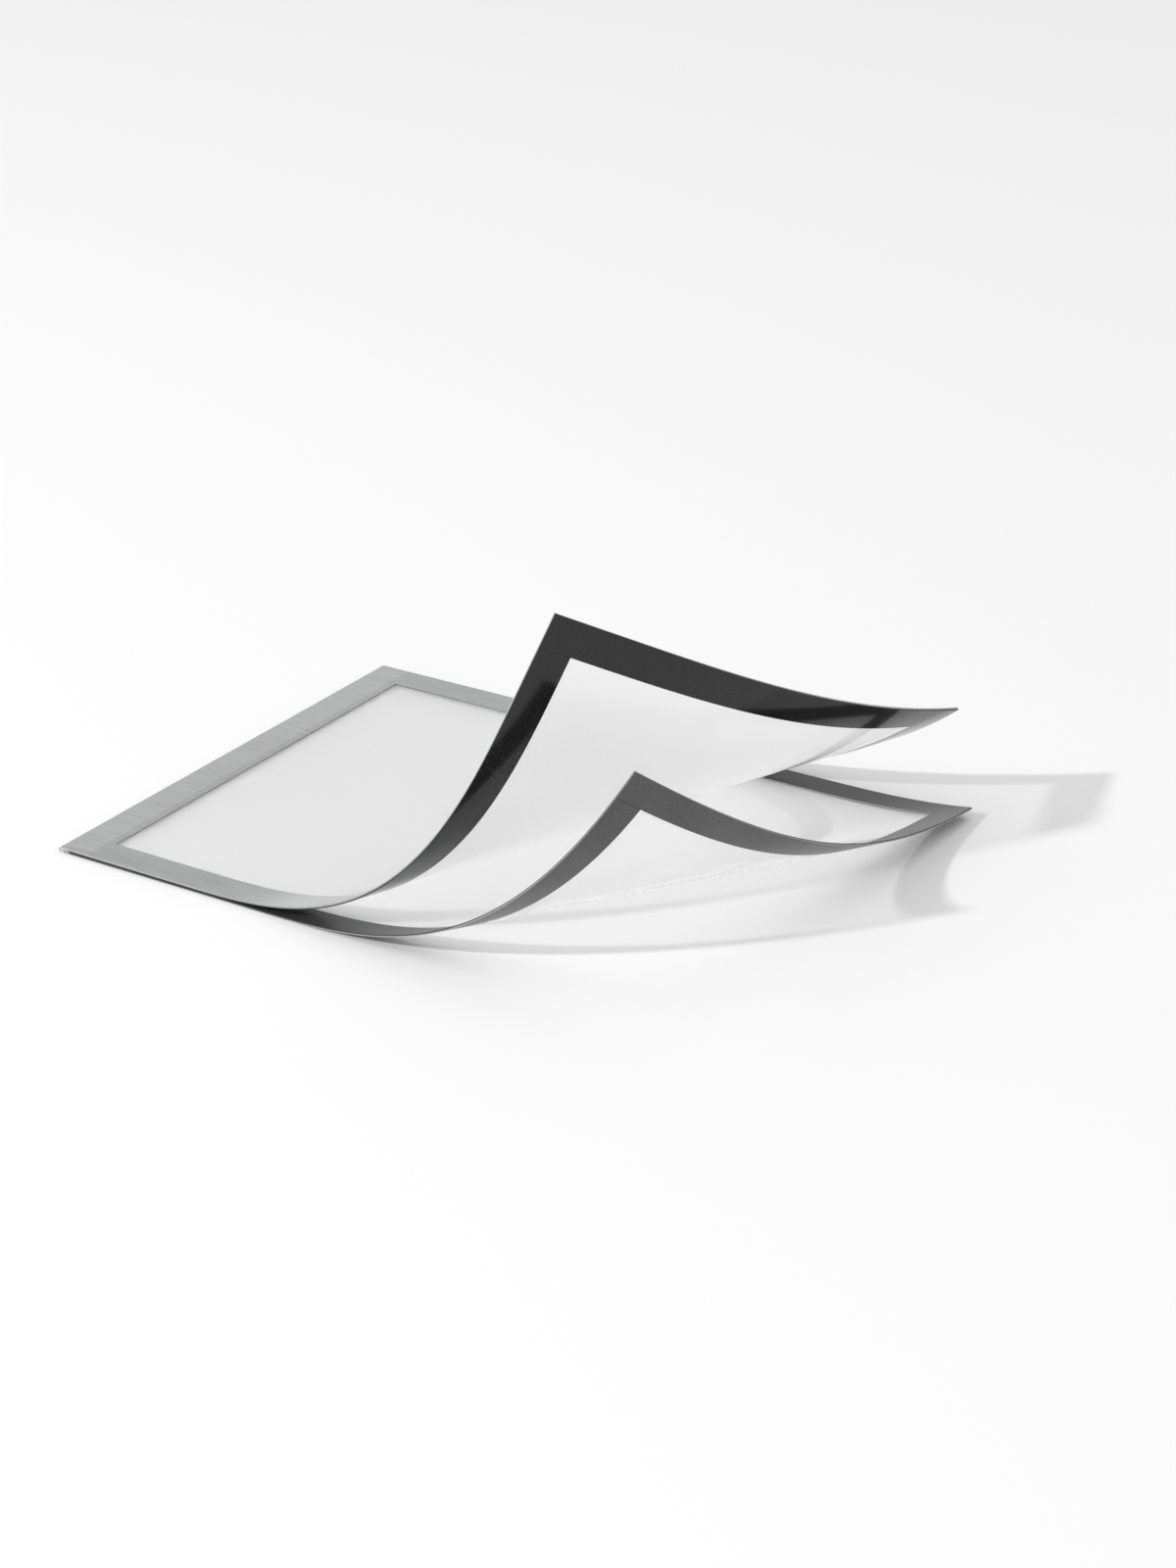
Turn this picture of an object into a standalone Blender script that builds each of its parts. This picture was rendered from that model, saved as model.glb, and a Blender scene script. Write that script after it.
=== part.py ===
"""Magnetic document frame for one A4 sheet, lying open on a table.

The frame is two thin, springy panels, a back and a cover, joined by a clear hinge strip along one
short edge. Each panel is a frosted window film with a ring of four magnet strips on its inner face,
and the cover has a silver border film on its outer face. Laid down empty, both panels curl up
towards their free end, the cover more than the back.

Every layer is drawn flat first, as (along, across, height), and then bent. A sheet bends without
stretching, so it has straight fold lines and turns about one after the other. Along the near edge
the turning eases in and out, and the fold lines lean, which lifts the near corner most.

X runs from the hinge to the free end, Y from the near edge to the far edge, Z up. The shapes are
worked out from the near end of the hinge, and then moved so that the origin is at the centre of the
flat stretch that rests on the table. Sizes are in metres.
"""

import math
from collections import namedtuple

import bmesh
import bpy
import numpy as np
from mathutils import Matrix, Vector

MM = 0.001

# Outline of the closed frame
LENGTH = 323 * MM
WIDTH = 236 * MM

# Borders, measured in from the outline. The back's magnet strips leave a recess for the sheet, 210
# by 297 mm, and the cover's reach a little over its rim
BACK_BORDER = 13 * MM
COVER_BORDER = 15 * MM
COVER_HINGE_BORDER = 20 * MM
COVER_HINGE_MAGNET_WIDTH = 10 * MM

# Thickness of each layer
FILM_THICKNESS = 0.25 * MM
MAGNET_THICKNESS = 0.50 * MM
FACE_THICKNESS = 0.15 * MM

# Clearances
LAYER_GAP = 0.20 * MM
SEAM_GAP = 0.30 * MM

# Hinge strip: how far its two legs reach from the fold
HINGE_LEG = 6 * MM

# Curl of the cover, measured along its near edge. A lean is the angle between a fold line and the
# line square to the near edge
COVER_CURL_START = 72 * MM
COVER_CURL_LENGTH = 215 * MM
COVER_CURL_TURN = math.radians(76.0)
COVER_LEAN_AT_HINGE = math.radians(2.0)
COVER_LEAN_AT_FREE_END = math.radians(46.0)

# Curl of the back, which starts after the cover's, is longer and turns less
BACK_CURL_DELAY = 34.5 * MM
BACK_CURL_EXTRA_LENGTH = 44 * MM
BACK_TURN_SHARE = 0.98
BACK_LEAN_AT_HINGE = math.radians(25.1)
BACK_LEAN_AT_FREE_END = math.radians(41.2)

# Fineness of the meshes
FLAT_CELL = 32 * MM
CURL_CELL = 8 * MM
ACROSS_CELL = 13 * MM
WALK_STEP = 1 * MM
FOLD_SEGMENTS = 12
SAME_LINE = 0.001 * MM
SMOOTH_BELOW = math.radians(30.0)

# Heights of the layers while the frame is flat, from the table up
BACK_FILM_BOTTOM = 0.0
BACK_FILM_TOP = BACK_FILM_BOTTOM + FILM_THICKNESS
BACK_MAGNET_BOTTOM = BACK_FILM_TOP + LAYER_GAP
BACK_MAGNET_TOP = BACK_MAGNET_BOTTOM + MAGNET_THICKNESS
COVER_MAGNET_BOTTOM = BACK_MAGNET_TOP + LAYER_GAP
COVER_MAGNET_TOP = COVER_MAGNET_BOTTOM + MAGNET_THICKNESS
COVER_FILM_BOTTOM = COVER_MAGNET_TOP + LAYER_GAP
COVER_FILM_TOP = COVER_FILM_BOTTOM + FILM_THICKNESS
FACE_BOTTOM = COVER_FILM_TOP + LAYER_GAP
FACE_TOP = FACE_BOTTOM + FACE_THICKNESS

# The hinge strip folds round this line, half way between the two films
FOLD_OUTER_RADIUS = (COVER_FILM_TOP - BACK_FILM_BOTTOM) / 2
FOLD_INNER_RADIUS = FOLD_OUTER_RADIUS - FILM_THICKNESS
FOLD_AXIS = Vector((FOLD_OUTER_RADIUS, WIDTH / 2, BACK_FILM_BOTTOM + FOLD_OUTER_RADIUS))

Curl = namedtuple("Curl", "start length turn lean_at_hinge lean_at_free_end")
Panel = namedtuple("Panel", "curl base_height parent")
COVER_CURL = Curl(
    COVER_CURL_START,
    COVER_CURL_LENGTH,
    COVER_CURL_TURN,
    COVER_LEAN_AT_HINGE,
    COVER_LEAN_AT_FREE_END,
)
BACK_CURL = Curl(
    COVER_CURL_START + BACK_CURL_DELAY,
    COVER_CURL_LENGTH + BACK_CURL_EXTRA_LENGTH,
    COVER_CURL_TURN * BACK_TURN_SHARE,
    BACK_LEAN_AT_HINGE,
    BACK_LEAN_AT_FREE_END,
)

# Places along and across the flat panels
PANEL_START = HINGE_LEG + SEAM_GAP
FACE_START = FOLD_OUTER_RADIUS + SEAM_GAP
COVER_MAGNET_END = PANEL_START + COVER_HINGE_MAGNET_WIDTH
BACK_WINDOW_END = LENGTH - BACK_BORDER
COVER_WINDOW_END = LENGTH - COVER_BORDER

# The back's film lies flat on the table from its hinge end to where the back starts to curl
REST_CENTRE = Vector(((PANEL_START + BACK_CURL.start) / 2, WIDTH / 2, BACK_FILM_BOTTOM))


def even_lines(start, end, cell):
    """Evenly spaced places from start to end, at most one cell apart."""
    count = max(1, math.ceil((end - start - SAME_LINE) / cell))
    return [start + (end - start) * i / count for i in range(count + 1)]


def lines_through(marks, cell):
    """Places through every mark in order, with evenly spaced places between the marks."""
    marks = sorted(marks)
    lines = marks[:1]
    for start, end in zip(marks, marks[1:]):
        if end - start > SAME_LINE:
            lines += even_lines(start, end, cell)[1:]
    return lines


# All layers are cut along the same lines, so that they stay parallel when they are bent
LINES_ALONG = (
    lines_through([PANEL_START, COVER_HINGE_BORDER, COVER_CURL_START], FLAT_CELL)
    + lines_through([COVER_CURL_START, COVER_WINDOW_END, BACK_WINDOW_END, LENGTH], CURL_CELL)[1:]
)
LINES_ACROSS = lines_through(
    [0.0, BACK_BORDER, COVER_BORDER, WIDTH - COVER_BORDER, WIDTH - BACK_BORDER, WIDTH],
    ACROSS_CELL,
)


def lean_slope(curl, place):
    """Slope of the fold line that leaves the near edge at this place."""
    at_hinge = math.tan(curl.lean_at_hinge)
    at_free_end = math.tan(curl.lean_at_free_end)
    return at_hinge + (at_free_end - at_hinge) * place / LENGTH


def turned(curl, place):
    """Angle that the near edge has turned by this place: it eases in and out."""
    x = min(max((place - curl.start) / curl.length, 0.0), 1.0)
    return curl.turn * x * x * (3.0 - 2.0 * x)


def walk_near_edge(curl):
    """Walks along the bent near edge and turns about each fold line in turn.

    Gives the distance walked, and for each step the place and the directions along, across and up.
    """
    steps = math.ceil(LENGTH / WALK_STEP) + 1
    place = Vector((0.0, 0.0, 0.0))
    along, across, up = Vector((1.0, 0.0, 0.0)), Vector((0.0, 1.0, 0.0)), Vector((0.0, 0.0, 1.0))
    distances, frames = [], []
    for step in range(steps + 1):
        distance = step * WALK_STEP
        distances.append(distance)
        frames.append((*place, *along, *across, *up))
        fold_line = along * lean_slope(curl, distance + WALK_STEP / 2) + across
        angle = (turned(curl, distance + WALK_STEP) - turned(curl, distance)) * fold_line.length
        turn = Matrix.Rotation(-angle, 3, fold_line)
        place = place + (along + turn @ along) * (WALK_STEP / 2)
        along, across, up = turn @ along, turn @ across, turn @ up
    return np.array(distances), np.array(frames)


def bend(points, curl, base_height):
    """Carries flat points (along, across, height) to the curled panel.

    A point lies on the fold line that leaves the near edge at start, so it keeps its place on that
    line and its height above the sheet.
    """
    flat = np.array(points)
    slope = lean_slope(curl, 0.0)
    fan = (lean_slope(curl, LENGTH) - slope) / LENGTH
    start = (flat[:, 0] - flat[:, 1] * slope) / (1.0 + flat[:, 1] * fan)
    distances, frames = walk_near_edge(curl)
    reached = np.clip(start, 0.0, distances[-1])
    walked = np.stack([np.interp(reached, distances, column) for column in frames.T], axis=1)
    place, along, across, up = walked[:, 0:3], walked[:, 3:6], walked[:, 6:9], walked[:, 9:12]
    on_line = along * (flat[:, 0] - reached)[:, None] + across * flat[:, 1][:, None]
    bent = place + on_line + up * (flat[:, 2] - base_height)[:, None]
    bent[:, 2] += base_height
    return bent


def lines_between(lines, low, high):
    """The shared lines inside a span, with the span's own two ends."""
    inside = [line for line in lines if low + SAME_LINE < line < high - SAME_LINE]
    return [low] + inside + [high]


def flat_slab(mesh, along, across, low, high, window=None):
    """Adds a flat slab cut into cells, with an optional window left open, as one closed body."""
    columns, rows = lines_between(LINES_ALONG, *along), lines_between(LINES_ACROSS, *across)
    corners = {}

    def corner(i, j, height):
        key = (i, j, height)
        if key not in corners:
            corners[key] = mesh.verts.new((columns[i], rows[j], height))
        return corners[key]

    def in_window(i, j):
        if window is None:
            return False
        (start, end), (near, far) = window
        middle_along = (columns[i] + columns[i + 1]) / 2
        middle_across = (rows[j] + rows[j + 1]) / 2
        return start < middle_along < end and near < middle_across < far

    cells = {
        (i, j) for i in range(len(columns) - 1) for j in range(len(rows) - 1) if not in_window(i, j)
    }
    for i, j in sorted(cells):
        for height, upwards in ((low, False), (high, True)):
            a, b = corner(i, j, height), corner(i + 1, j, height)
            c, d = corner(i + 1, j + 1, height), corner(i, j + 1, height)
            for face in ((a, b, c), (a, c, d)):
                mesh.faces.new(face if upwards else face[::-1])
        edges = (
            ((i, j - 1), (i, j), (i + 1, j)),
            ((i + 1, j), (i + 1, j), (i + 1, j + 1)),
            ((i, j + 1), (i + 1, j + 1), (i, j + 1)),
            ((i - 1, j), (i, j + 1), (i, j)),
        )
        for neighbour, first, second in edges:
            if neighbour not in cells:
                bottom = (corner(*first, low), corner(*second, low))
                top = (corner(*second, high), corner(*first, high))
                mesh.faces.new(bottom + top)


def make_material(name, colour, roughness, metallic=0.0, alpha=1.0):
    """A Principled material with one plain finish."""
    material = bpy.data.materials.new(name)
    material.use_nodes = True
    shader = material.node_tree.nodes["Principled BSDF"]
    shader.inputs["Base Color"].default_value = (*colour, 1.0)
    shader.inputs["Roughness"].default_value = roughness
    shader.inputs["Metallic"].default_value = metallic
    shader.inputs["Alpha"].default_value = alpha
    return material


def add_object(name, mesh, material, parent=None):
    """Makes the finished bmesh an object. A moving piece has its origin on the fold axis."""
    origin = REST_CENTRE if parent is None else REST_CENTRE + parent.location
    bmesh.ops.translate(mesh, verts=mesh.verts, vec=-origin)
    data = bpy.data.meshes.new(name)
    mesh.to_mesh(data)
    mesh.free()
    data.materials.append(material)
    data.shade_smooth()
    data.set_sharp_from_angle(angle=SMOOTH_BELOW)
    thing = bpy.data.objects.new(name, data)
    bpy.context.scene.collection.objects.link(thing)
    thing.parent = parent
    return thing


def add_layer(name, material, panel, outline, heights, window=None):
    """One layer of a panel: a flat slab, bent with its panel."""
    mesh = bmesh.new()
    flat_slab(mesh, *outline, *heights, window)
    vertices = list(mesh.verts)
    places = bend([vertex.co for vertex in vertices], panel.curl, panel.base_height)
    for vertex, place in zip(vertices, places):
        vertex.co = place
    return add_object(name, mesh, material, panel.parent)


def add_magnet_ring(prefix, material, panel, heights, window):
    """Four magnet strips: full-width strips at both ends, and side strips butted between them."""
    (start, end), (near, far) = window
    beside_window = (start + SEAM_GAP, end - SEAM_GAP)
    strips = {
        "hinge_end": ((PANEL_START, start), (0.0, WIDTH)),
        "free_end": ((end, LENGTH), (0.0, WIDTH)),
        "near_side": (beside_window, (0.0, near)),
        "far_side": (beside_window, (far, WIDTH)),
    }
    for place, outline in strips.items():
        add_layer(f"{prefix}_magnet_{place}", material, panel, outline, heights)


def add_hinge_strip(material):
    """The clear strip that joins the two films: two flat legs and a half-round fold between them."""
    centre_x, centre_z = FOLD_AXIS.x, FOLD_AXIS.z
    angles = [math.pi * (0.5 + i / FOLD_SEGMENTS) for i in range(FOLD_SEGMENTS + 1)]

    def arc(radius):
        return [(centre_x + radius * math.cos(a), centre_z + radius * math.sin(a)) for a in angles]

    outer = [(HINGE_LEG, COVER_FILM_TOP)] + arc(FOLD_OUTER_RADIUS) + [(HINGE_LEG, BACK_FILM_BOTTOM)]
    inner = [(HINGE_LEG, COVER_FILM_BOTTOM)] + arc(FOLD_INNER_RADIUS) + [(HINGE_LEG, BACK_FILM_TOP)]
    mesh = bmesh.new()
    outline = [mesh.verts.new((x, 0.0, z)) for x, z in outer]
    lining = [mesh.verts.new((x, 0.0, z)) for x, z in inner]
    section = [
        mesh.faces.new((outline[i], outline[i + 1], lining[i + 1], lining[i]))
        for i in range(len(outer) - 1)
    ]
    swept = bmesh.ops.extrude_face_region(mesh, geom=section)
    moved = [item for item in swept["geom"] if isinstance(item, bmesh.types.BMVert)]
    bmesh.ops.translate(mesh, verts=moved, vec=(0.0, WIDTH, 0.0))
    bmesh.ops.recalc_face_normals(mesh, faces=mesh.faces)
    return add_object("hinge_strip", mesh, material)


def build():
    for thing in list(bpy.data.objects):
        bpy.data.objects.remove(thing, do_unlink=True)

    film = make_material("frosted_film", (0.90, 0.91, 0.91), 0.35, alpha=0.45)
    clear_film = make_material("clear_film", (0.92, 0.93, 0.93), 0.15, alpha=0.40)
    back_foil = make_material("matte_magnet_foil", (0.075, 0.076, 0.078), 0.55)
    cover_foil = make_material("glossy_magnet_foil", (0.018, 0.018, 0.019), 0.18)
    silver = make_material("brushed_silver_film", (0.44, 0.45, 0.45), 0.38, metallic=0.6)

    cover_fold = bpy.data.objects.new("cover_fold", None)
    cover_fold.location = FOLD_AXIS - REST_CENTRE
    bpy.context.scene.collection.objects.link(cover_fold)

    back = Panel(BACK_CURL, BACK_FILM_BOTTOM, None)
    cover = Panel(COVER_CURL, COVER_MAGNET_BOTTOM, cover_fold)
    whole_panel = ((PANEL_START, LENGTH), (0.0, WIDTH))
    whole_face = ((FACE_START, LENGTH), (0.0, WIDTH))
    across_back = (BACK_BORDER, WIDTH - BACK_BORDER)
    across_cover = (COVER_BORDER, WIDTH - COVER_BORDER)
    back_recess = ((BACK_BORDER, BACK_WINDOW_END), across_back)
    cover_recess = ((COVER_MAGNET_END, COVER_WINDOW_END), across_cover)
    face_window = ((COVER_HINGE_BORDER, COVER_WINDOW_END), across_cover)
    back_magnets = (BACK_MAGNET_BOTTOM, BACK_MAGNET_TOP)
    cover_magnets = (COVER_MAGNET_BOTTOM, COVER_MAGNET_TOP)

    add_layer("back_window_film", film, back, whole_panel, (BACK_FILM_BOTTOM, BACK_FILM_TOP))
    add_magnet_ring("back", back_foil, back, back_magnets, back_recess)
    add_magnet_ring("cover", cover_foil, cover, cover_magnets, cover_recess)
    add_layer("cover_window_film", film, cover, whole_panel, (COVER_FILM_BOTTOM, COVER_FILM_TOP))
    add_layer("cover_face_border", silver, cover, whole_face, (FACE_BOTTOM, FACE_TOP), face_window)
    add_hinge_strip(clear_film)


build()
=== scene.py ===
# %% [markdown]
# # Magnetic document frame
#
# This frame holds one A4 sheet. It is two thin, springy panels that a clear strip joins along one
# short edge. Each panel is a frosted window film with dark magnet foil round its rim, and the
# upper panel, the cover, also has a silver border. Lying empty on a table, both panels relax into
# a curl towards their free end.
#
# The lesson builds the looks round a fixed model of the same frame. First comes the formula that
# bends a flat sheet, then the way a flat slab becomes a piece, then the finishes, then one panel
# after the other and the hinge strip, and last the table, the camera and the light.

import itertools
import math
from collections import namedtuple

import bpy
import numpy as np
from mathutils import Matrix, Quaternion, Vector


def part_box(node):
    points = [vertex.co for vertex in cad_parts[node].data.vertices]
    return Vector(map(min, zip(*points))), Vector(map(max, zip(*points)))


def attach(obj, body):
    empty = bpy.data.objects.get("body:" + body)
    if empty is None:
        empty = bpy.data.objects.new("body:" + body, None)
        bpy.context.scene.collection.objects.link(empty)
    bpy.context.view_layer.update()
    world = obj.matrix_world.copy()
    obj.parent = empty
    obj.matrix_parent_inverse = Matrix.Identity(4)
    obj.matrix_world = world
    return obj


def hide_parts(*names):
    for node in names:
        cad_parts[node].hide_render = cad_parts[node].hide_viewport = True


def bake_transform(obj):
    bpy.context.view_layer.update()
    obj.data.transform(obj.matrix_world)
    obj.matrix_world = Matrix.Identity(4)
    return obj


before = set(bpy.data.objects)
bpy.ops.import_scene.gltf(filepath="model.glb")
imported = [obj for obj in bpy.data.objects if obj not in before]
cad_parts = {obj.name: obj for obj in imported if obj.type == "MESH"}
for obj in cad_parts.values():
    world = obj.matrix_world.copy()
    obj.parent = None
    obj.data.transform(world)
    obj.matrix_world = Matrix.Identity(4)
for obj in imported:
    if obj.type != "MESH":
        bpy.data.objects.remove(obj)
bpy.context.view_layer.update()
for name in sorted(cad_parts):
    low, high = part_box(name)
    print(name, "is", [round((h - l) * 1000, 1) for l, h in zip(low, high)], "mm")

# %% [markdown]
# ## Sizes
#
# Along runs from the fold to the free end, across from the near edge to the far edge, and heights
# are counted from the table while the frame is pressed flat. The fixed model is built from the
# same numbers, so a piece made here lies where its plain solid lies.

# %% Sizes of the flat frame
MM = 0.001
LENGTH, WIDTH = 323 * MM, 236 * MM
BACK_BORDER, COVER_BORDER, COVER_HINGE_BORDER = 13 * MM, 15 * MM, 20 * MM
COVER_HINGE_FOIL_WIDTH = 10 * MM
FILM, FOIL, FACE = 0.25 * MM, 0.50 * MM, 0.15 * MM
LAYER_GAP, SEAM_GAP, HINGE_LEG = 0.20 * MM, 0.30 * MM, 6 * MM

BACK_FILM_TOP = FILM
BACK_FOIL_BOTTOM = BACK_FILM_TOP + LAYER_GAP
BACK_FOIL_TOP = BACK_FOIL_BOTTOM + FOIL
COVER_FOIL_BOTTOM = BACK_FOIL_TOP + LAYER_GAP
COVER_FOIL_TOP = COVER_FOIL_BOTTOM + FOIL
COVER_FILM_BOTTOM = COVER_FOIL_TOP + LAYER_GAP
COVER_FILM_TOP = COVER_FILM_BOTTOM + FILM
FACE_TOP = COVER_FILM_TOP + LAYER_GAP + FACE

FOLD_RADIUS = COVER_FILM_TOP / 2
PANEL_START = HINGE_LEG + SEAM_GAP
FACE_START = FOLD_RADIUS + SEAM_GAP
EDGE_TO_EDGE = (0.0, WIDTH)
BACK_RECESS = ((BACK_BORDER, LENGTH - BACK_BORDER), (BACK_BORDER, WIDTH - BACK_BORDER))
ACROSS_COVER = (COVER_BORDER, WIDTH - COVER_BORDER)
COVER_RECESS = ((PANEL_START + COVER_HINGE_FOIL_WIDTH, LENGTH - COVER_BORDER), ACROSS_COVER)
FACE_WINDOW = ((COVER_HINGE_BORDER, LENGTH - COVER_BORDER), ACROSS_COVER)
for what, sides in (("sheet's recess", BACK_RECESS), ("cover's window", FACE_WINDOW)):
    print("the", what, "is", [round((high - low) / MM) for low, high in sides], "mm")

# %% [markdown]
# ## How a sheet bends
#
# Film bends easily but doesn't stretch. Such a sheet always has straight lines in it, its fold
# lines, and it turns a little about each one. Two ways lead to that shape in Blender: a cloth
# simulation, or a formula. The formula is chosen, because it keeps every length exact and gives
# the same curl to every layer of a panel.
#
# The near edge is walked in small steps. A fold line leaves it at a lean, and the sheet turns
# about that line. The turning eases in and out. Since the lines lean, the near corner lifts most.

# %% The curl of each panel
Curl = namedtuple("Curl", "start length turn lean_at_hinge lean_at_free_end")
COVER_CURL = Curl(72 * MM, 215 * MM, math.radians(76.0), math.radians(2.0), math.radians(46.0))
BACK_CURL_DELAY, BACK_CURL_EXTRA_LENGTH, BACK_TURN_SHARE = 34.5 * MM, 44 * MM, 0.98
BACK_CURL = Curl(
    COVER_CURL.start + BACK_CURL_DELAY,
    COVER_CURL.length + BACK_CURL_EXTRA_LENGTH,
    COVER_CURL.turn * BACK_TURN_SHARE,
    math.radians(25.1),
    math.radians(41.2),
)
REST_CENTRE = np.array([(PANEL_START + BACK_CURL.start) / 2, WIDTH / 2, 0.0])


def lean_slope(curl, place):
    """How far a fold line runs along for each metre across: a straight line between both ends."""
    at_hinge, at_free_end = math.tan(curl.lean_at_hinge), math.tan(curl.lean_at_free_end)
    return at_hinge + (at_free_end - at_hinge) * place / LENGTH


def turned(curl, place):
    """The angle turned by a place: the whole turn times 3 x squared less 2 x cubed, where x is
    the share of the curl that lies before the place."""
    x = np.clip((place - curl.start) / curl.length, 0.0, 1.0)
    return curl.turn * x * x * (3.0 - 2.0 * x)


for what, curl in (("cover", COVER_CURL), ("back", BACK_CURL)):
    print("the", what, "turns by", round(math.degrees(turned(curl, LENGTH)), 1), "degrees in all")

# %% Walking along the near edge
WALK_STEP = 0.25 * MM


def rotations(axes, angles):
    """Rotation matrices: one, plus the sine times the axis's cross matrix, plus one less the
    cosine times the square of that matrix."""
    x, y, z = (axes / np.linalg.norm(axes, axis=1, keepdims=True)).T
    zero = np.zeros_like(x)
    cross = np.stack([zero, -z, y, z, zero, -x, -y, x, zero], axis=1).reshape(-1, 3, 3)
    sine, cosine = np.sin(angles)[:, None, None], np.cos(angles)[:, None, None]
    return np.eye(3) + sine * cross + (1.0 - cosine) * (cross @ cross)


def walk_near_edge(curl):
    """Distances walked, and for each the place and the directions along, across and up.

    In the sheet's own directions every fold line is (slope, 1, 0), so the turns are multiplied
    up one after the other, and the steps between them are added up."""
    distances = np.arange(0.0, LENGTH + WALK_STEP, WALK_STEP)
    slopes = lean_slope(curl, (distances[:-1] + distances[1:]) / 2)
    fold_lines = np.stack([slopes, np.ones_like(slopes), np.zeros_like(slopes)], axis=1)
    angles = -np.diff(turned(curl, distances)) * np.linalg.norm(fold_lines, axis=1)
    turns = [np.eye(3), *rotations(fold_lines, angles)]
    directions = np.array(list(itertools.accumulate(turns, np.matmul)))
    along, across, up = directions[:, :, 0], directions[:, :, 1], directions[:, :, 2]
    steps = (along[:-1] + along[1:]) * (WALK_STEP / 2)
    places = np.concatenate([np.zeros((1, 3)), np.cumsum(steps, axis=0)])
    return distances, np.concatenate([places, along, across, up], axis=1)


print("the near edge is walked in", len(walk_near_edge(COVER_CURL)[0]) - 1, "steps")

# %% Bending flat points
def bend(flat, curl, base_height):
    """Carries flat points (along, across, height) to the curled panel.

    The fold line through a flat point leaves the near edge at start, so along is start plus
    across times the slope there. The point keeps its place on that line and its height over the
    sheet."""
    slope = lean_slope(curl, 0.0)
    fan = (lean_slope(curl, LENGTH) - slope) / LENGTH
    distances, walked = walk_near_edge(curl)
    start = (flat[:, 0] - flat[:, 1] * slope) / (1.0 + flat[:, 1] * fan)
    start = np.clip(start, 0.0, distances[-1])
    here = np.stack([np.interp(start, distances, column) for column in walked.T], axis=1)
    place, along, across, up = here[:, 0:3], here[:, 3:6], here[:, 6:9], here[:, 9:12]
    bent = place + along * (flat[:, 0] - start)[:, None] + across * flat[:, 1][:, None]
    bent += up * (flat[:, 2] - base_height)[:, None]
    return bent + [0.0, 0.0, base_height] - REST_CENTRE


tip = bend(np.array([[LENGTH, 0.0, FACE_TOP]]), COVER_CURL, COVER_FOIL_BOTTOM)[0]
print("the cover's near corner is lifted to", round(tip[2] / MM, 1), "mm")

# %% [markdown]
# ## From flat slabs to pieces
#
# Every layer is a slab: a grid of cells with a lower and an upper skin, and walls round its rim
# and round its window. The grid has a line close inside each rim, and the rim's own points are
# drawn in a little, so that each cut edge gets a fine bevel, as a die leaves it. The flat place
# of each point is kept as the piece's UV map, in metres. Brush lines and grain then follow the
# sheet round its curl.

# %% Grid lines and slab faces
GRID_CELL = 2.5 * MM


def rim_lines(low, high, bevel):
    """Lines over a span: both ends, a line one bevel inside each, and even cells between."""
    count = math.ceil((high - low) / GRID_CELL) + 1
    return np.concatenate([[low], np.linspace(low + bevel, high - bevel, count), [high]])


def slab_faces(filled):
    """Quads of a closed slab over the filled cells. Corner (i, j) is numbered i times the rows
    plus j on the lower skin, and the count of all corners is added for the upper skin."""
    corners = (filled.shape[0] + 1) * (filled.shape[1] + 1)
    number = np.arange(corners).reshape(filled.shape[0] + 1, filled.shape[1] + 1)
    a, b, c, d = number[:-1, :-1], number[1:, :-1], number[1:, 1:], number[:-1, 1:]
    lower = np.stack([a, d, c, b], axis=-1)[filled]
    upper = np.stack([a, b, c, d], axis=-1)[filled] + corners
    beyond = np.pad(filled, 1)
    sides = ((beyond[1:-1, :-2], a, b), (beyond[2:, 1:-1], b, c),
             (beyond[1:-1, 2:], c, d), (beyond[:-2, 1:-1], d, a))
    walls = [
        np.stack([first, second, second + corners, first + corners], axis=-1)[filled & ~neighbour]
        for neighbour, first, second in sides
    ]
    return lower, upper, np.concatenate(walls)


# %% Putting points and faces into a mesh
SHARP_ABOVE = math.radians(30.0)


def add_piece(name, points, faces, flat, finishes, skins):
    """A mesh object from whole arrays. Faces have four corners each, and skins numbers the finish
    of each face."""
    used, numbers = np.unique(faces, return_inverse=True)
    numbers = numbers.reshape(-1).astype(np.int32)
    mesh = bpy.data.meshes.new(name)
    mesh.vertices.add(len(used))
    mesh.vertices.foreach_set("co", points[used].astype(np.float32).ravel())
    mesh.loops.add(len(numbers))
    mesh.loops.foreach_set("vertex_index", numbers)
    mesh.polygons.add(len(faces))
    mesh.polygons.foreach_set("loop_start", np.arange(0, len(numbers), 4, dtype=np.int32))
    mesh.polygons.foreach_set("material_index", skins.astype(np.int32))
    flat_map = mesh.uv_layers.new(name="flat")
    flat_map.data.foreach_set("uv", flat[used][numbers].astype(np.float32).ravel())
    mesh.update(calc_edges=True)
    mesh.validate()
    for finish in finishes:
        mesh.materials.append(finish)
    mesh.shade_smooth()
    mesh.set_sharp_from_angle(angle=SHARP_ABOVE)
    piece = bpy.data.objects.new(name, mesh)
    bpy.context.scene.collection.objects.link(piece)
    print(name, "has", len(faces) * 2, "triangles")
    return piece


# %% The two panels
Panel = namedtuple("Panel", "body curl base_height recess")
BACK = Panel("back_panel", BACK_CURL, 0.0, BACK_RECESS)
COVER = Panel("cover_panel", COVER_CURL, COVER_FOIL_BOTTOM, COVER_RECESS)
HAIR = 0.05 * MM


def inside_points(flat, area):
    """Which flat points lie in an area or within a hair of its edge."""
    low, high = np.array(area).T
    return ((flat > low - HAIR) & (flat < high + HAIR)).all(axis=1)


def inside(columns, rows, area, margin):
    """Which cells between these grid lines lie in an area or stick out by no more than a margin."""
    in_x, in_y = (
        (lines[:-1] >= low - margin) & (lines[1:] <= high + margin)
        for lines, (low, high) in zip((columns, rows), area)
    )
    return in_x[:, None] & in_y[None, :]


print("panels:", BACK.body, "and", COVER.body)

# %% One layer of a panel
LOWER_SKIN, UPPER_SKIN, CUT_EDGE, FOURTH_FINISH = range(4)


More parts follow.
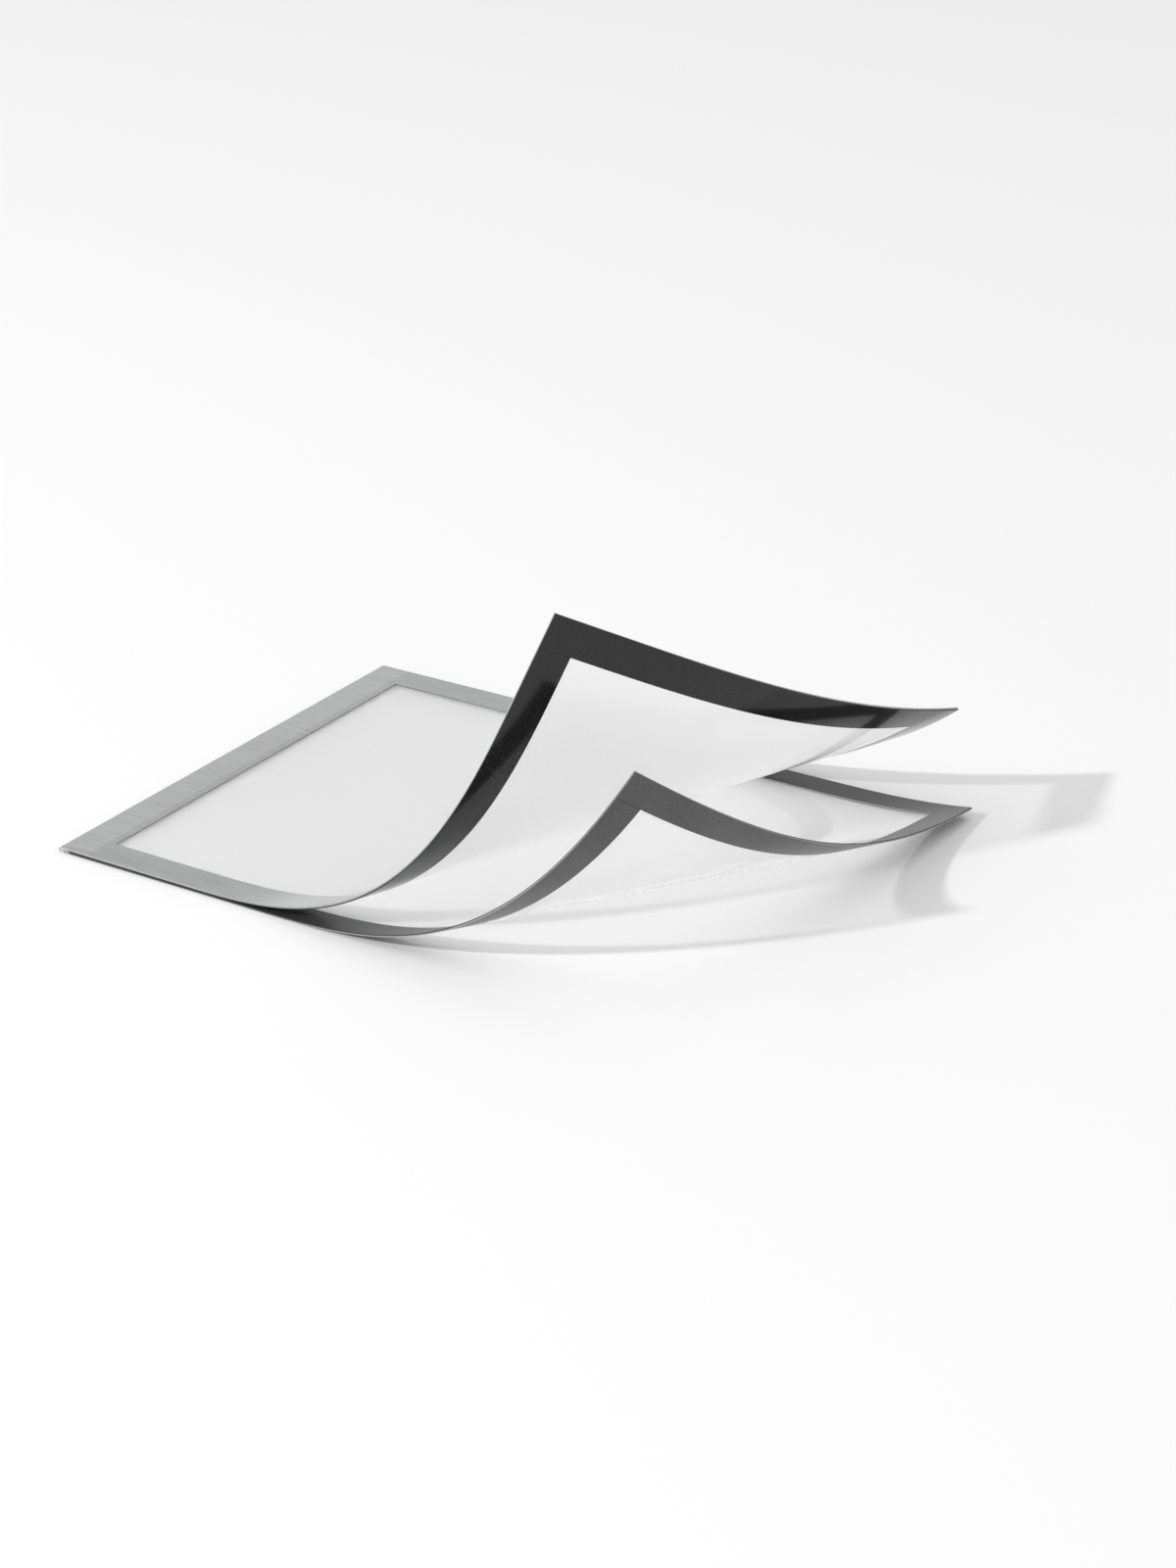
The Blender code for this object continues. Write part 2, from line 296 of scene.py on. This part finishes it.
def add_layer(name, panel, outline, heights, bevel, finishes, recess=None, window=False):
    """A slab cut to its outline, bent with its panel. It stands for the plain solid of its name.

    Finishes are those of the lower skin, the upper skin and the cut edges. A film has a fourth
    one for where foil is glued to it, and a foil strip for its wall towards the window. Grid lines
    run along the recess, which a film covers and a border with a window leaves out."""
    spans = [[edges[0], *marks, edges[1]] for edges, marks in zip(outline, recess or ((), ()))]
    columns, rows = (
        np.unique(np.concatenate([rim_lines(a, b, bevel) for a, b in zip(span, span[1:])]))
        for span in spans
    )
    filled = np.ones((len(columns) - 1, len(rows) - 1), bool)
    if window:
        filled &= ~inside(columns, rows, recess, bevel / 2)
    lower, upper, walls = slab_faces(filled)
    x, y = np.meshgrid(columns, rows, indexing="ij")
    flat = np.stack([x.ravel(), y.ravel()], axis=1)
    on_rim = np.zeros(len(flat), bool)
    on_rim[walls[:, :2].ravel()] = True
    low = heights[0] + bevel * on_rim
    high = heights[1] - bevel * on_rim
    points = np.concatenate([np.column_stack([flat, low]), np.column_stack([flat, high])])
    faces = np.concatenate([lower, upper, walls])
    skins = np.repeat([LOWER_SKIN, UPPER_SKIN, CUT_EDGE], [len(lower), len(upper), len(walls)])
    if recess and not window:
        glued = ~inside(columns, rows, recess, bevel / 2).ravel()
        skins[: 2 * len(lower)].reshape(2, -1)[:, glued] = FOURTH_FINISH
    elif len(finishes) > FOURTH_FINISH:
        facing_window = inside_points(flat, panel.recess)[walls[:, :2]].all(axis=1)
        skins[2 * len(lower) :][facing_window] = FOURTH_FINISH
    bent = bend(points, panel.curl, panel.base_height)
    piece = add_piece(name + "_look", bent, faces, np.tile(flat, (2, 1)), finishes, skins)
    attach(piece, panel.body)
    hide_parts(name)


# %% [markdown]
# ## Writing finishes as sums
#
# A finish is a small graph of nodes. Written as nodes and links, even a short sum takes many
# lines, so a small class wraps a socket and lets Python's own signs add the Math nodes.

# %% Sums on sockets
class Signal:
    """A number that changes over the surface, as a node's output."""

    def __init__(self, graph, socket):
        self.graph, self.socket = graph, socket

    def maths(self, operation, *values):
        inputs = dict(enumerate(values))
        return self.graph.node("ShaderNodeMath", {"operation": operation}, inputs)

    def __abs__(self):
        return self.maths("ABSOLUTE", self)

    def __add__(self, other):
        return self.maths("ADD", self, other)

    def __sub__(self, other):
        return self.maths("SUBTRACT", self, other)

    def __rsub__(self, other):
        return self.maths("SUBTRACT", other, self)

    def __mul__(self, other):
        return self.maths("MULTIPLY", self, other)

    __radd__ = __add__
    __rmul__ = __mul__


# %% A graph of nodes
class Graph:
    """The nodes of one material or world, with one method that adds any node."""

    def __init__(self, owner):
        owner.use_nodes = True
        self.name, self.tree = owner.name, owner.node_tree
        self.tree.nodes.clear()

    def node(self, kind, settings=None, inputs=None, output=0):
        made = self.tree.nodes.new(kind)
        for name, value in (settings or {}).items():
            if name == "stops":
                self.set_stops(made.color_ramp, value)
            else:
                setattr(made, name, value)
        for key, value in (inputs or {}).items():
            if isinstance(value, Signal):
                self.tree.links.new(value.socket, made.inputs[key])
            else:
                made.inputs[key].default_value = value
        return Signal(self, made.outputs[output]) if made.outputs else None

    def set_stops(self, ramp, stops):
        while len(ramp.elements) < len(stops):
            ramp.elements.new(1.0)
        for element, (place, grey) in zip(ramp.elements, stops):
            element.position = place
            element.color = (grey, grey, grey, 1.0)

    def flat_place(self):
        """Where a point lies on the flat sheet, in metres."""
        return self.node("ShaderNodeUVMap", {"uv_map": "flat"})

    def along(self):
        """How far along the flat sheet a point lies, counted from the fold, in metres."""
        return self.node("ShaderNodeSeparateXYZ", inputs={0: self.flat_place()}, output="X")

    def grain(self, along, across, detail=2.0):
        """Noise with so many waves to the metre along and across the sheet."""
        place = self.node(
            "ShaderNodeMapping", inputs={"Vector": self.flat_place(), "Scale": (along, across, 1.0)}
        )
        return self.node(
            "ShaderNodeTexNoise",
            {"noise_dimensions": "2D"},
            {"Vector": place, "Scale": 1.0, "Detail": detail},
        )

    def fade(self, value, start, end):
        """Nought below start, one above end, with an eased step between."""
        return self.node(
            "ShaderNodeMapRange",
            {"interpolation_type": "SMOOTHSTEP"},
            {"Value": value, "From Min": start, "From Max": end},
        )

    def between(self, dark, light, share):
        """A grey that goes from dark to light, by the sockets 6, 7 and 2, which are for colours."""
        return self.node(
            "ShaderNodeMix",
            {"data_type": "RGBA"},
            {"Factor": share, 6: (*dark, 1.0), 7: (*light, 1.0)},
            output=2,
        )

    def bump(self, height, distance, strength):
        return self.node(
            "ShaderNodeBump", inputs={"Height": height, "Distance": distance, "Strength": strength}
        )

    def surface(self, shader):
        self.node("ShaderNodeOutputMaterial", inputs={"Surface": shader})
        print(self.name, "is made with", len(self.tree.nodes), "nodes")


def new_finish(name):
    material = bpy.data.materials.new(name)
    return material, Graph(material)


# %% [markdown]
# ## Brushed silver border
#
# The border is a thin film printed in silver with fine brush lines that run the long way. It has
# no depth, so colour and roughness carry the lines and a very low bump only breaks up the shine.
# A metal with a middling roughness gives the soft change from mid grey, where the sheet mirrors
# the dim part of the studio, to pale grey where it curls up and mirrors the bright horizon. Beside
# the window of the hinge end, where no foil backs the film, the border is painted a little darker:
# painted shade for the film that sags there.

# %% Brushed silver
def brushed_silver():
    material, graph = new_finish("brushed_silver_film")
    fine = graph.grain(45.0, 1300.0)
    broad = graph.grain(12.0, 500.0)
    cloud = graph.grain(14.0, 14.0)
    foil_end = PANEL_START + COVER_HINGE_FOIL_WIDTH
    # Painted shade: the border is painted darker between the foil's end and the window, where the
    # unbacked film sags.
    unshaded_over_foil = 1.0 - graph.fade(graph.along(), foil_end - SEAM_GAP, foil_end + SEAM_GAP)
    shade = 0.70 * fine + 0.15 * broad + 0.15 * cloud
    colour = graph.between((0.42, 0.423, 0.425), (0.77, 0.774, 0.777), shade + 0.20 * unshaded_over_foil)
    shader = graph.node(
        "ShaderNodeBsdfPrincipled",
        inputs={
            "Base Color": colour,
            "Metallic": 1.0,
            "Roughness": 0.24 + 0.12 * fine,
            "Normal": graph.bump(fine + 0.4 * broad, 0.004 * MM, 0.4),
        },
    )
    graph.surface(shader)
    return material


SILVER = brushed_silver()

# %% [markdown]
# ## Magnet foil
#
# Flexible magnet foil is rubber full of ferrite powder, rolled into a strip. On the back it is
# left bare: dark grey, matt and finely grained, with faint rolling lines along the panel. The
# cover's foil has a smooth black skin. Its shine is a clear coat, slightly blurred, that mirrors
# little when it is seen square on and much at a grazing angle. Below the coat the rubber has no
# shine of its own. A slow, very low bump gives the slightly uneven mirror of a laminated strip.

# %% Matt foil and glossy foil
def matt_foil():
    material, graph = new_finish("matte_magnet_foil")
    powder = graph.grain(1800.0, 1800.0, detail=3.0)
    rolling = graph.grain(30.0, 700.0)
    cloud = graph.grain(45.0, 45.0)
    shade = 0.4 * powder + 0.3 * rolling + 0.3 * cloud
    shader = graph.node(
        "ShaderNodeBsdfPrincipled",
        inputs={
            "Base Color": graph.between((0.025, 0.025, 0.026), (0.065, 0.065, 0.067), shade),
            "Roughness": 0.25 + 0.12 * powder,
            "IOR": 1.55,
            "Normal": graph.bump(powder + 0.5 * rolling, 0.01 * MM, 0.5),
        },
    )
    graph.surface(shader)
    return material


def glossy_foil():
    material, graph = new_finish("glossy_magnet_foil")
    skin = graph.grain(900.0, 900.0, detail=3.0)
    slow = graph.grain(28.0, 28.0, detail=1.0)
    shader = graph.node(
        "ShaderNodeBsdfPrincipled",
        inputs={
            "Base Color": graph.between((0.006, 0.006, 0.006), (0.018, 0.018, 0.018), skin),
            "Roughness": 0.30 + 0.12 * skin,
            "IOR": 1.05,
            "Coat Weight": 1.0,
            "Coat Roughness": 0.11,
            "Coat IOR": 1.44,
            "Normal": graph.bump(slow + 0.008 * skin, 0.05 * MM, 0.6),
        },
    )
    graph.surface(shader)
    return material


MATT_FOIL, GLOSSY_FOIL = matt_foil(), glossy_foil()

# %% [markdown]
# ## Window film
#
# The windows are film with a frosted outer side against glare and a smooth inner side. Print
# that touches the film stays sharp, and anything behind it blurs with distance. Real refraction
# does that by itself: the outer skin gets a rough glass finish and the inner skin a smooth one.
# The film is also slightly milky, so each skin has a share of plain white in its glass. What the
# skins mirror is held back a little, or a film seen edge-on would turn into a white line.
#
# The light that falls through the windows on to the table is another matter. Chance alone would
# rarely guide it through four refracting skins. For light, as told apart by the kind of ray, the
# smooth skin is simply clear, and the frosted skin scatters a part of it and lets the rest
# straight through. The shadows get what the real ones have: a crisp outer edge, a soft band of
# shade for each strip of foil, and light under the film.

# %% Frosted and smooth skins
FILM_INDEX, FILM_SHINE, FILM_WHITE = 1.30, 0.7, 0.98


def film_skin(name, roughness, spread, clearness, scattered, tone=1.0):
    """A skin of film. Spread is what the frost's grain adds to the roughness, clearness the share
    that isn't milk, scattered the share of light that doesn't go straight through, and tone how
    pale the film is, which on the hinge strip is lowered as painted shade."""
    material, graph = new_finish(name)
    frost = graph.grain(2200.0, 2200.0, detail=3.0)
    streak = graph.grain(24.0, 60.0)
    glass = graph.node(
        "ShaderNodeBsdfPrincipled",
        inputs={
            "Base Color": graph.between((FILM_WHITE * tone,) * 3, (tone,) * 3, streak),
            "Roughness": roughness + spread * frost,
            "IOR": FILM_INDEX,
            "Specular Tint": (FILM_SHINE, FILM_SHINE, FILM_SHINE, 1.0),
            "Transmission Weight": clearness,
            "Normal": graph.bump(frost + 4.0 * streak, 0.004 * MM, 0.3),
        },
    )
    white = {"Color": (FILM_WHITE, FILM_WHITE, FILM_WHITE, 1.0)}
    straight = graph.node("ShaderNodeBsdfTransparent", inputs=white)
    scattering = graph.node("ShaderNodeBsdfTranslucent", inputs=white)
    light = graph.node("ShaderNodeMixShader", inputs={0: scattered, 1: straight, 2: scattering})
    rays = graph.node("ShaderNodeLightPath").socket.node.outputs
    mixed = glass
    for ray in ("Is Shadow Ray", "Is Diffuse Ray"):
        of_this_kind = Signal(graph, rays[ray])
        mixed = graph.node("ShaderNodeMixShader", inputs={0: of_this_kind, 1: mixed, 2: light})
    graph.surface(mixed)
    return material


FROSTED = film_skin("frosted_film", roughness=0.48, spread=0.12, clearness=0.88, scattered=0.40)
SMOOTH = film_skin(
    "frosted_film_inner_side", roughness=0.05, spread=0.04, clearness=0.80, scattered=0.0
)

# %% [markdown]
# ## Foil under film, and cut edges
#
# Where foil is glued to the film, glue joins the two without any air. From outside one sees dark
# foil with the frosted shine of the film on it, so that part of the film gets one plain finish.
# The strips are butted at the corners, and each butt is painted as a fine dark line that shows
# through the frosted back: painted shade of the narrow gap between the strips.
#
# Cut edges are seen as hair lines only. A film's edge is drawn a matt grey, which on the clear
# films is partly painted shade: the dark line that shade leaves along their edges. The silver
# film's edge gets the same grey, as it would glitter if it were as shiny as its face. The foil's
# walls towards the window lie between two milky films, which wash them out, and so the dark foil's
# walls are painted a middle grey: painted light that stands in for that milky haze.

# %% Foil under film, and cut edges
SEAM_CORE, SEAM_REACH = 0.15 * MM, 0.50 * MM


def foil_under_film():
    material, graph = new_finish("foil_under_film")
    powder = graph.grain(700.0, 700.0, detail=3.0)
    cloud = graph.grain(45.0, 45.0)
    start, end = BACK_RECESS[0]
    off_seam = abs(abs(graph.along() - (start + end) / 2) - (end - start) / 2)
    # Painted shade: the colour turns darkest along each butt, for shade in the gap between strips;
    # the same mask cuts a shallow groove in the bump.
    clear_of_seam_groove_and_shade = graph.fade(off_seam, SEAM_CORE, SEAM_REACH)
    shade = (0.6 * powder + 0.4 * cloud) * clear_of_seam_groove_and_shade
    shader = graph.node(
        "ShaderNodeBsdfPrincipled",
        inputs={
            "Base Color": graph.between((0.010, 0.010, 0.011), (0.07, 0.07, 0.072), shade),
            "Roughness": 0.24 + 0.12 * powder,
            "IOR": 1.7,
            "Normal": graph.bump(powder + 4.0 * clear_of_seam_groove_and_shade, 0.02 * MM, 0.4),
        },
    )
    graph.surface(shader)
    return material


def cut_edge(name, grey):
    """A matt finish that varies a little from place to place."""
    material, graph = new_finish(name)
    dark, light = 0.85 * grey, 1.1 * grey
    colour = graph.between((dark, dark, dark), (light, light, light), graph.grain(300.0, 300.0))
    shader = graph.node("ShaderNodeBsdfPrincipled", inputs={"Base Color": colour, "Roughness": 0.7})
    graph.surface(shader)
    return material


UNDER_FILM = foil_under_film()
# The two greys below are painted shade on the films' cut edges and painted haze on the foil's
# walls.
FILM_EDGE_GREY_SHADE, FOIL_WALL_PAINTED_HAZE = cut_edge("film_edge_grey_shade", 0.40), cut_edge("foil_wall_painted_haze", 0.45)

# %% [markdown]
# ## Back panel
#
# The back is the lower panel: one film as large as the frame, and four foil strips glued on its
# inner side. The strips at both ends are as wide as the frame, and the side strips are butted
# between them. Glue fills the gap between film and foil, so the film is drawn up to the foil.

# %% Strips of foil round a recess
GLUE_LINE, BUTT_GAP = 0.02 * MM, 0.01 * MM
FILM_BEVEL, FOIL_BEVEL, FACE_BEVEL = 0.04 * MM, 0.04 * MM, 0.03 * MM


def add_foil_strips(prefix, panel, heights, finish):
    """Four strips: those at both ends go from edge to edge, and the other two lie between them."""
    (start, end), (near, far) = panel.recess
    between_ends = (start + BUTT_GAP, end - BUTT_GAP)
    outlines = {
        "hinge_end": ((PANEL_START, start), EDGE_TO_EDGE),
        "free_end": ((end, LENGTH), EDGE_TO_EDGE),
        "near_side": (between_ends, (0.0, near)),
        "far_side": (between_ends, (far, WIDTH)),
    }
    finishes = (finish, finish, finish, FOIL_WALL_PAINTED_HAZE)
    for place, outline in outlines.items():
        add_layer(prefix + place, panel, outline, heights, FOIL_BEVEL, finishes)


# %% Back film and back foil
add_layer(
    "back_window_film", BACK, ((PANEL_START, LENGTH), EDGE_TO_EDGE),
    (0.0, BACK_FOIL_BOTTOM - GLUE_LINE), FILM_BEVEL,
    (FROSTED, SMOOTH, FILM_EDGE_GREY_SHADE, UNDER_FILM), recess=BACK_RECESS,
)
add_foil_strips(
    "back_magnet_", BACK, (BACK_FOIL_BOTTOM, BACK_FOIL_TOP), MATT_FOIL
)

# %% [markdown]
# ## Cover panel
#
# The cover mirrors the back: foil strips underneath, film over them with its frosted side up,
# and the silver border on top. The border is one die-cut film with the window cut out of it, and
# it reaches over the hinge strip almost to the fold.

# %% Cover foil, cover film and silver border
add_foil_strips(
    "cover_magnet_", COVER, (COVER_FOIL_BOTTOM, COVER_FOIL_TOP), GLOSSY_FOIL
)
add_layer(
    "cover_window_film", COVER, ((PANEL_START, LENGTH), EDGE_TO_EDGE),
    (COVER_FOIL_TOP + GLUE_LINE, COVER_FILM_TOP), FILM_BEVEL,
    (SMOOTH, FROSTED, FILM_EDGE_GREY_SHADE, UNDER_FILM), recess=COVER_RECESS,
)
add_layer(
    "cover_face_border", COVER, ((FACE_START, LENGTH), EDGE_TO_EDGE),
    (COVER_FILM_TOP + GLUE_LINE, FACE_TOP), FACE_BEVEL,
    (SILVER, SILVER, FILM_EDGE_GREY_SHADE), recess=FACE_WINDOW, window=True,
)

# %% [markdown]
# ## Hinge strip
#
# A strip of clear film is folded round the hinge edge and welded to both window films. Its shape
# is a profile, two legs and a half circle, carried straight across the frame. Its finish is nearly
# as rough as the frosted side of a window, because smooth film would glitter like glass in so tight
# a fold, and it is painted a little grey: painted shade that dims the bright fold.

# %% Folded strip
FOLD_POINTS, LEG_POINTS, ACROSS_POINTS = 25, 4, 60


def folded_profile(radius):
    """A leg over the fold, a half circle of this radius about the fold axis, and a leg below."""
    angles = np.linspace(0.5, 1.5, FOLD_POINTS) * math.pi
    circle = FOLD_RADIUS + radius * np.stack([np.cos(angles), np.sin(angles)], axis=1)
    reach = np.linspace(HINGE_LEG, FOLD_RADIUS, LEG_POINTS, endpoint=False)
    over = np.stack([reach, np.full(LEG_POINTS, FOLD_RADIUS + radius)], axis=1)
    below = np.stack([reach[::-1], np.full(LEG_POINTS, FOLD_RADIUS - radius)], axis=1)
    return np.concatenate([over, circle, below])


def add_hinge_strip(finish):
    """The closed profile, its outer line and its inner line back, at many places across."""
    outer, inner = folded_profile(FOLD_RADIUS), folded_profile(FOLD_RADIUS - FILM)
    profile = np.concatenate([outer, inner[::-1]])
    across = np.linspace(0.0, WIDTH, ACROSS_POINTS)
    ring, bands = len(profile), len(across) - 1
    places = [np.tile(column, len(across)) for column in profile.T]
    points = np.stack([places[0], np.repeat(across, ring), places[1]], axis=1)
    number = np.arange(ring * len(across)).reshape(len(across), ring)
    following = np.roll(number, -1, axis=1)
    corners = [number[:-1], following[:-1], following[1:], number[1:]]
    skin = np.stack(corners, axis=-1).reshape(-1, 4)
    i = np.arange(len(outer) - 1)
    cap = np.stack([i, ring - 1 - i, ring - 2 - i, i + 1], axis=1)
    faces = np.concatenate([skin, cap, cap[:, ::-1] + bands * ring])
    lengths = np.concatenate([[0.0], np.cumsum(np.linalg.norm(np.diff(outer, axis=0), axis=1))])
    walked = np.concatenate([lengths, lengths[::-1]])
    flat = np.stack([np.tile(walked, len(across)), np.repeat(across, ring)], axis=1)
    skins = np.zeros(len(faces))
    points -= REST_CENTRE
    piece = add_piece("hinge_strip_look", points, faces, flat, [finish], skins)
    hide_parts("hinge_strip")
    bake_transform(piece)


# Painted shade: the hinge strip's lower tone dims its bright fold.
CLEAR = film_skin(
    "clear_film", roughness=0.45, spread=0.04, clearness=0.85, scattered=0.05, tone=0.85
)
add_hinge_strip(CLEAR)

# %% [markdown]
# ## Table and camera
#
# The table is one large, plain, almost white plane. It stays below the film by a hair, so that
# the two never share a surface. The camera stands where the photograph was taken from: to the
# right of the near edge, a good metre and a half away, looking down by 25 degrees.

# %% Table
TABLE_SIZE, TABLE_WHITE = 30.0, 0.95
TABLE_GAP = 0.02 * MM


def add_table():
    half = TABLE_SIZE / 2
    corners = [(-half, -half, -TABLE_GAP), (half, -half, -TABLE_GAP),
               (half, half, -TABLE_GAP), (-half, half, -TABLE_GAP)]
    mesh = bpy.data.meshes.new("table")
    mesh.from_pydata(corners, [], [(0, 1, 2, 3)])
    table = bpy.data.objects.new("table", mesh)
    bpy.context.scene.collection.objects.link(table)
    material, graph = new_finish("table_white")
    white = (TABLE_WHITE, TABLE_WHITE, TABLE_WHITE, 1.0)
    graph.surface(graph.node("ShaderNodeBsdfDiffuse", inputs={"Color": white}))
    mesh.materials.append(material)
    print("the table is", TABLE_SIZE, "m square")


add_table()

# %% Camera
VIEW_TARGET = Vector((0.1020, 0.0608, -0.0005))
VIEW_AZIMUTH, VIEW_ELEVATION = math.radians(33.94), math.radians(24.96)
VIEW_DISTANCE, VIEW_ROLL = 1.559, math.radians(-1.12)
LENS, SENSOR = 79.3, 36.0


def direction(azimuth, elevation):
    """Towards a stand at this azimuth, counted from straight before the near edge to the right."""
    level = math.cos(elevation)
    return Vector((math.sin(azimuth) * level, -math.cos(azimuth) * level, math.sin(elevation)))


def add_camera():
    data = bpy.data.cameras.new("camera")
    data.lens, data.sensor_width, data.sensor_fit = LENS, SENSOR, "AUTO"
    camera = bpy.data.objects.new("camera", data)
    bpy.context.scene.collection.objects.link(camera)
    back = direction(VIEW_AZIMUTH, VIEW_ELEVATION)
    camera.location = VIEW_TARGET + back * VIEW_DISTANCE
    camera.rotation_mode = "QUATERNION"
    roll = Quaternion((0.0, 0.0, 1.0), VIEW_ROLL)
    camera.rotation_quaternion = (-back).to_track_quat("-Z", "Y") @ roll
    bpy.context.scene.camera = camera
    print("the camera stands at", [round(c, 3) for c in camera.location], "m")


add_camera()

# %% [markdown]
# ## Light
#
# One small soft lamp stands in front of the near edge, well to the left and 32 degrees up. It
# gives about a quarter of the light, and so the long, fairly crisp shadows on the right. The rest
# comes from a pale studio all round: bright at the horizon, dimmer above it, bright again
# overhead. That change is what the silver border and the glossy foil mirror.

# %% Lamp and studio
LAMP_AZIMUTH, LAMP_ELEVATION = math.radians(-30.0), math.radians(31.8)
LAMP_DISTANCE, LAMP_SIZE, LAMP_SHARE = 4.5, 0.22, 0.27
STUDIO = [
    (0.0, 1.20), (0.12, 1.05), (0.26, 0.77), (0.38, 0.59),
    (0.58, 0.57), (0.75, 0.76), (0.9, 0.89), (1.0, 0.92),
]


def add_lamp():
    """A lamp that gives the table its share of full white. Full white takes pi squared times the
    distance squared, divided by the sine of the lamp's elevation, in watts."""
    data = bpy.data.lights.new("lamp", "AREA")
    data.shape, data.size = "DISK", LAMP_SIZE
    watts_for_white = math.pi**2 * LAMP_DISTANCE**2 / math.sin(LAMP_ELEVATION)
    data.energy = LAMP_SHARE * watts_for_white
    lamp = bpy.data.objects.new("lamp", data)
    bpy.context.scene.collection.objects.link(lamp)
    towards = direction(LAMP_AZIMUTH, LAMP_ELEVATION)
    lamp.location = VIEW_TARGET + towards * LAMP_DISTANCE
    lamp.rotation_mode = "QUATERNION"
    lamp.rotation_quaternion = (-towards).to_track_quat("-Z", "Y")
    print("the lamp has", round(data.energy, 1), "W")


def add_studio():
    world = bpy.data.worlds.new("studio")
    bpy.context.scene.world = world
    graph = Graph(world)
    way = graph.node("ShaderNodeTexCoord")
    height = graph.node("ShaderNodeSeparateXYZ", inputs={0: way}, output="Z")
    tone = graph.node("ShaderNodeValToRGB", {"stops": STUDIO}, {"Fac": height})
    light = graph.node("ShaderNodeBackground", inputs={"Color": tone})
    graph.node("ShaderNodeOutputWorld", inputs={"Surface": light})
    print("the studio goes through", len(STUDIO), "tones from the horizon up")


add_lamp()
add_studio()
bpy.context.scene.view_settings.view_transform = "Standard"
